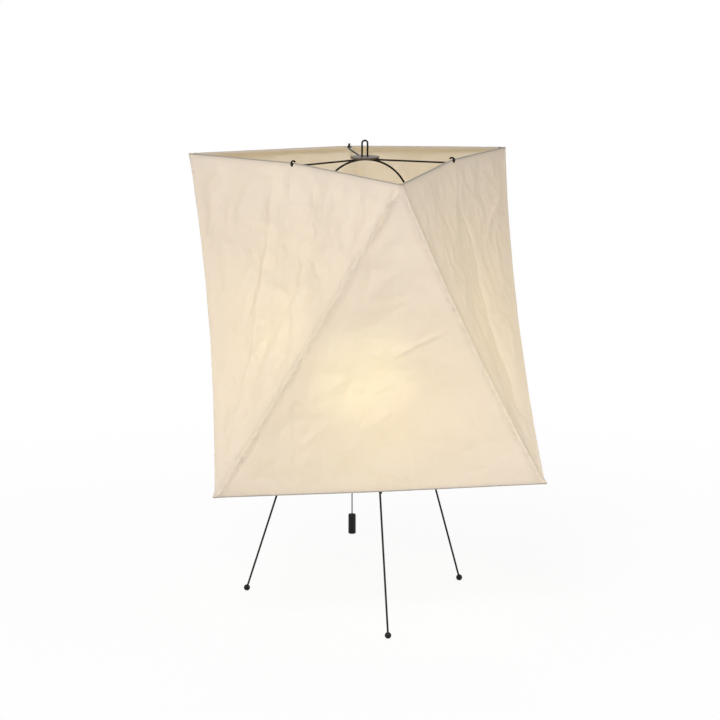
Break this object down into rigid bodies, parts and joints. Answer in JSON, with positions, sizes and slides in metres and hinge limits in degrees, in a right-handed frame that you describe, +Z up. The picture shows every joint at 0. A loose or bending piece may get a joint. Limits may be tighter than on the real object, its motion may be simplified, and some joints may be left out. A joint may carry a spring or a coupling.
{
  "type": "paper table lamp",
  "caption": "Table lamp: folded paper shade stretched between turned wire triangles, hung from a wire harp on splayed wire legs with ball feet, with a pull switch.",
  "frame": {"origin": "on the floor under the lamp's axis, at the middle of the circle of feet", "axes": "+Z up, -Y towards the shade's front corner and the front leg, +X to the lamp's right"},
  "size_m": [0.4036, 0.4642, 0.58],
  "materials": {
    "wire_black": "satin black paint",
    "foot_black": "smooth moulded",
    "zinc_steel": "zinc plated",
    "bush_black": "moulded",
    "shade_paper": "translucent, creased",
    "holder_black": "moulded",
    "insert_white": "unglazed",
    "contact_brass": "stamped",
    "bulb_frosted": "frosted",
    "bulb_clear": "clear",
    "bulb_metal": "rolled thread",
    "bulb_black_glass": "fused",
    "filament": "glowing coil",
    "cord_dark": "braided",
    "weight_black": "satin black paint"
  },
  "bodies": {
    "stand": {"leg_front": "wire_black", "leg_right": "wire_black", "leg_left": "wire_black", "foot_front": "foot_black", "foot_right": "foot_black", "foot_left": "foot_black", "stand_hub": "wire_black", "nipple": "zinc_steel", "lock_washer": "zinc_steel", "hub_nut": "zinc_steel", "cap_nut": "zinc_steel", "inlet_bush": "bush_black", "harp": "wire_black", "carrying_loop": "wire_black", "holder_cap": "holder_black", "holder_shell": "holder_black", "holder_insert": "insert_white", "terminal_screws": "contact_brass", "screw_shell": "contact_brass", "centre_contact": "contact_brass", "switch_housing": "holder_black"},
    "shade": {"top_rim": "wire_black", "bottom_rim": "wire_black", "spider_disc": "zinc_steel", "spider_arm_right": "wire_black", "spider_arm_back": "wire_black", "spider_arm_left": "wire_black", "paper_up_front": "shade_paper", "paper_up_right": "shade_paper", "paper_up_left": "shade_paper", "paper_down_right": "shade_paper", "paper_down_back": "shade_paper", "paper_down_left": "shade_paper"},
    "bulb": {"bulb_glass": "bulb_frosted", "bulb_cap": "bulb_metal", "bulb_insulator": "bulb_black_glass", "bulb_contact": "contact_brass", "bulb_stem": "bulb_clear", "bulb_filament": "filament"},
    "pull_switch": {"pull_plunger": "contact_brass"},
    "pull": {"pull_cord": "cord_dark", "pull_weight": "weight_black"}
  },
  "joints": [
    {"name": "shade_lift", "type": "slide", "parent": "stand", "child": "shade", "axis": [0, 0, 1], "range_m": [0, 0.42]},
    {"name": "bulb_turn", "type": "hinge", "parent": "stand", "child": "bulb", "pos_m": [0, 0, 0.2316], "axis": [0, 0, 1], "range_deg": [0, 900]},
    {"name": "pull_switch_slide", "type": "slide", "parent": "stand", "child": "pull_switch", "axis": [0, 0, -1], "range_m": [0, 0.008], "stiffness_N_per_m": 400, "springref_m": -0.002},
    {"name": "pull_swing", "type": "hinge", "parent": "pull_switch", "child": "pull", "pos_m": [-0.01957, -0.02099, 0.1834], "axis": [0.7314, -0.682, 0], "range_deg": [-20, 20]}
  ]
}
